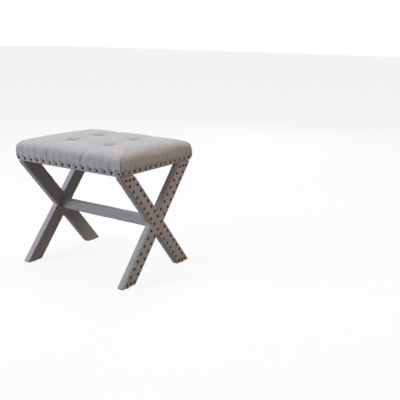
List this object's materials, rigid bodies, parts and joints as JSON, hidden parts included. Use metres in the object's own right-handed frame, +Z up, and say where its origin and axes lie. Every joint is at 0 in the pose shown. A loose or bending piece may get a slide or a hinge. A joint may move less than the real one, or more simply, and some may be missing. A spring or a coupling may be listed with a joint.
{
  "type": "x frame stool",
  "caption": "Upholstered stool with a tufted, crowned seat on two crossed end frames joined by a bar, wrapped in woven cloth and trimmed with domed nailheads.",
  "frame": {"origin": "on the floor under the middle of the seat", "axes": "+X along the seat's longer side, from one crossed frame to the other; +Y from the front to the back, the stool being the same both ways; +Z up"},
  "size_m": [0.466, 0.38, 0.458],
  "materials": {
    "linen": "matte",
    "foam": "matte",
    "wadding": "matte",
    "hardwood": "matte",
    "plywood": "matte",
    "zinc_steel": "satin",
    "antique_brass": "satin",
    "under_cloth": "matte",
    "twine": "matte",
    "glide": "satin"
  },
  "bodies": {
    "root": {"seat_cover": "linen", "foam_pad": "foam", "side_wadding": "wadding", "tuft_buttons": "linen", "tuft_twines": "twine", "tuft_washers": "zinc_steel", "front_rail": "hardwood", "back_rail": "hardwood", "left_rail": "hardwood", "right_rail": "hardwood", "corner_blocks": "hardwood", "seat_deck": "plywood", "dust_cover": "under_cloth", "rail_screws": "zinc_steel", "deck_screws": "zinc_steel", "frame_screws": "zinc_steel", "frame_dowels": "hardwood", "right_falling_arm": "hardwood", "right_rising_arm": "hardwood", "right_frame_wrap": "linen", "right_frame_panel": "linen", "right_frame_nails": "antique_brass", "left_falling_arm": "hardwood", "left_rising_arm": "hardwood", "left_frame_wrap": "linen", "left_frame_panel": "linen", "left_frame_nails": "antique_brass", "floor_glides": "glide", "stretcher_core": "hardwood", "stretcher_sleeve": "linen", "stretcher_bolts": "zinc_steel", "barrel_nuts": "zinc_steel", "stretcher_dowels": "hardwood", "front_seat_nails": "antique_brass", "back_seat_nails": "antique_brass", "left_seat_nails": "antique_brass", "right_seat_nails": "antique_brass"}
  },
  "joints": []
}
